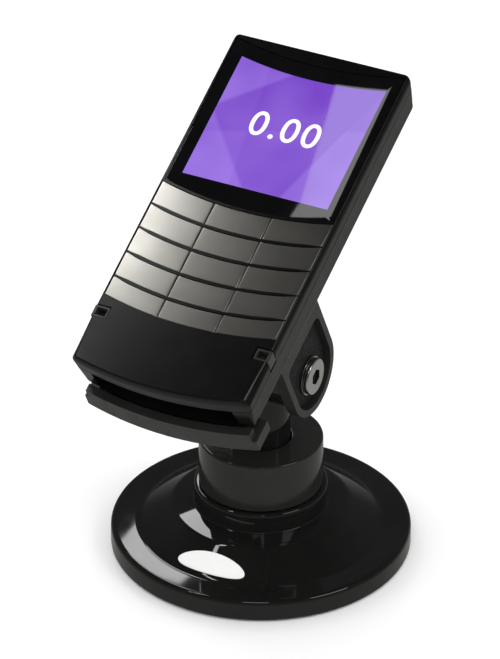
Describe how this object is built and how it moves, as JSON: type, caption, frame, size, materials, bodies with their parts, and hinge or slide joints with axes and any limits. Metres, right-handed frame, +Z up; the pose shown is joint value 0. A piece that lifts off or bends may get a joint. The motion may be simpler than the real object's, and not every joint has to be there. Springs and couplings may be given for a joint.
{
  "type": "card payment terminal",
  "caption": "Keypad card terminal with a colour screen and a chip card slot, held in a cradle that tilts and swivels on a weighted round base.",
  "frame": {"origin": "middle of the round base's underside, on the swivel axis", "axes": "+Z up along the swivel axis, +X to the viewer's right along the tilt axis, and the screen faces -Y and up"},
  "size_m": [0.127, 0.1591, 0.2065],
  "materials": {
    "gloss_black": "glossy moulded black plastic",
    "satin_black": "satin black glass-filled plastic",
    "satin_grey": "satin charcoal plastic",
    "key_metal": "satin silver brushed along the row",
    "glass": "glossy cover glass",
    "screen": "lit purple colour display",
    "rubber": "matt black rubber",
    "steel": "plain steel",
    "chrome": "bright chrome plate",
    "zinc_screw": "black zinc plated steel",
    "circuit_board": "green solder mask",
    "connector": "black moulded connector plastic",
    "white_acetal": "natural white acetal",
    "label_white": "blank white printed label"
  },
  "bodies": {
    "base": {"badge": "label_white", "base_cover": "gloss_black", "base_screw_1": "zinc_screw", "base_screw_2": "zinc_screw", "base_screw_3": "zinc_screw", "base_weight": "steel", "bearing_plate": "steel", "collar": "satin_grey", "collar_screw_1": "zinc_screw", "collar_screw_2": "zinc_screw", "collar_screw_3": "zinc_screw", "foot_pad": "rubber", "spring_washer": "steel", "thrust_washer": "white_acetal"},
    "swivel": {"swivel_head": "satin_black", "friction_washer_left": "white_acetal", "friction_washer_right": "white_acetal"},
    "cradle": {"buzzer": "connector", "card_reader": "connector", "contactless_antenna": "circuit_board", "cradle_tray": "satin_grey", "data_port": "connector", "display_lens": "glass", "display_panel": "screen", "front_housing": "gloss_black", "housing_screw_1": "zinc_screw", "housing_screw_2": "zinc_screw", "housing_screw_3": "zinc_screw", "housing_screw_4": "zinc_screw", "keypad_board": "circuit_board", "keypad_membrane": "rubber", "main_board": "circuit_board", "mounting_pad": "rubber", "rear_housing": "gloss_black", "shield_socket_left": "connector", "shield_socket_right": "connector", "tilt_bolt": "chrome", "tilt_nut": "chrome", "tilt_washer_left": "chrome", "tilt_washer_right": "chrome", "tilt_yoke": "satin_black", "yoke_screw_1": "zinc_screw", "yoke_screw_2": "zinc_screw", "yoke_screw_3": "zinc_screw", "yoke_screw_4": "zinc_screw"},
    "key_row1_col1": {"key_row1_col1": "key_metal"},
    "key_row1_col2": {"key_row1_col2": "key_metal"},
    "key_row1_col3": {"key_row1_col3": "key_metal"},
    "key_row2_col1": {"key_row2_col1": "key_metal"},
    "key_row2_col2": {"key_row2_col2": "key_metal"},
    "key_row2_col3": {"key_row2_col3": "key_metal"},
    "key_row3_col1": {"key_row3_col1": "key_metal"},
    "key_row3_col2": {"key_row3_col2": "key_metal"},
    "key_row3_col3": {"key_row3_col3": "key_metal"},
    "key_row4_col1": {"key_row4_col1": "key_metal"},
    "key_row4_col2": {"key_row4_col2": "key_metal"},
    "key_row4_col3": {"key_row4_col3": "key_metal"},
    "key_row5_col1": {"key_row5_col1": "key_metal"},
    "key_row5_col2": {"key_row5_col2": "key_metal"},
    "key_row5_col3": {"key_row5_col3": "key_metal"}
  },
  "joints": [
    {"name": "swivel", "type": "hinge", "parent": "base", "child": "swivel", "pos_m": [0, 0, 0.052], "axis": [0, 0, 1], "range_deg": [-165, 165]},
    {"name": "tilt", "type": "hinge", "parent": "swivel", "child": "cradle", "pos_m": [0, 0, 0.0875], "axis": [1, 0, 0], "range_deg": [-40, 45]},
    {"name": "key_row1_col1_press", "type": "slide", "parent": "cradle", "child": "key_row1_col1", "axis": [0, 0.4633, -0.8862], "range_m": [0, 0.0008], "stiffness_N_per_m": 600, "springref_m": -0.0006},
    {"name": "key_row1_col2_press", "type": "slide", "parent": "cradle", "child": "key_row1_col2", "axis": [0, 0.4633, -0.8862], "range_m": [0, 0.0008], "stiffness_N_per_m": 600, "springref_m": -0.0006},
    {"name": "key_row1_col3_press", "type": "slide", "parent": "cradle", "child": "key_row1_col3", "axis": [0, 0.4633, -0.8862], "range_m": [0, 0.0008], "stiffness_N_per_m": 600, "springref_m": -0.0006},
    {"name": "key_row2_col1_press", "type": "slide", "parent": "cradle", "child": "key_row2_col1", "axis": [0, 0.4633, -0.8862], "range_m": [0, 0.0008], "stiffness_N_per_m": 600, "springref_m": -0.0006},
    {"name": "key_row2_col2_press", "type": "slide", "parent": "cradle", "child": "key_row2_col2", "axis": [0, 0.4633, -0.8862], "range_m": [0, 0.0008], "stiffness_N_per_m": 600, "springref_m": -0.0006},
    {"name": "key_row2_col3_press", "type": "slide", "parent": "cradle", "child": "key_row2_col3", "axis": [0, 0.4633, -0.8862], "range_m": [0, 0.0008], "stiffness_N_per_m": 600, "springref_m": -0.0006},
    {"name": "key_row3_col1_press", "type": "slide", "parent": "cradle", "child": "key_row3_col1", "axis": [0, 0.4633, -0.8862], "range_m": [0, 0.0008], "stiffness_N_per_m": 600, "springref_m": -0.0006},
    {"name": "key_row3_col2_press", "type": "slide", "parent": "cradle", "child": "key_row3_col2", "axis": [0, 0.4633, -0.8862], "range_m": [0, 0.0008], "stiffness_N_per_m": 600, "springref_m": -0.0006},
    {"name": "key_row3_col3_press", "type": "slide", "parent": "cradle", "child": "key_row3_col3", "axis": [0, 0.4633, -0.8862], "range_m": [0, 0.0008], "stiffness_N_per_m": 600, "springref_m": -0.0006},
    {"name": "key_row4_col1_press", "type": "slide", "parent": "cradle", "child": "key_row4_col1", "axis": [0, 0.4633, -0.8862], "range_m": [0, 0.0008], "stiffness_N_per_m": 600, "springref_m": -0.0006},
    {"name": "key_row4_col2_press", "type": "slide", "parent": "cradle", "child": "key_row4_col2", "axis": [0, 0.4633, -0.8862], "range_m": [0, 0.0008], "stiffness_N_per_m": 600, "springref_m": -0.0006},
    {"name": "key_row4_col3_press", "type": "slide", "parent": "cradle", "child": "key_row4_col3", "axis": [0, 0.4633, -0.8862], "range_m": [0, 0.0008], "stiffness_N_per_m": 600, "springref_m": -0.0006},
    {"name": "key_row5_col1_press", "type": "slide", "parent": "cradle", "child": "key_row5_col1", "axis": [0, 0.4633, -0.8862], "range_m": [0, 0.0008], "stiffness_N_per_m": 600, "springref_m": -0.0006},
    {"name": "key_row5_col2_press", "type": "slide", "parent": "cradle", "child": "key_row5_col2", "axis": [0, 0.4633, -0.8862], "range_m": [0, 0.0008], "stiffness_N_per_m": 600, "springref_m": -0.0006},
    {"name": "key_row5_col3_press", "type": "slide", "parent": "cradle", "child": "key_row5_col3", "axis": [0, 0.4633, -0.8862], "range_m": [0, 0.0008], "stiffness_N_per_m": 600, "springref_m": -0.0006}
  ]
}
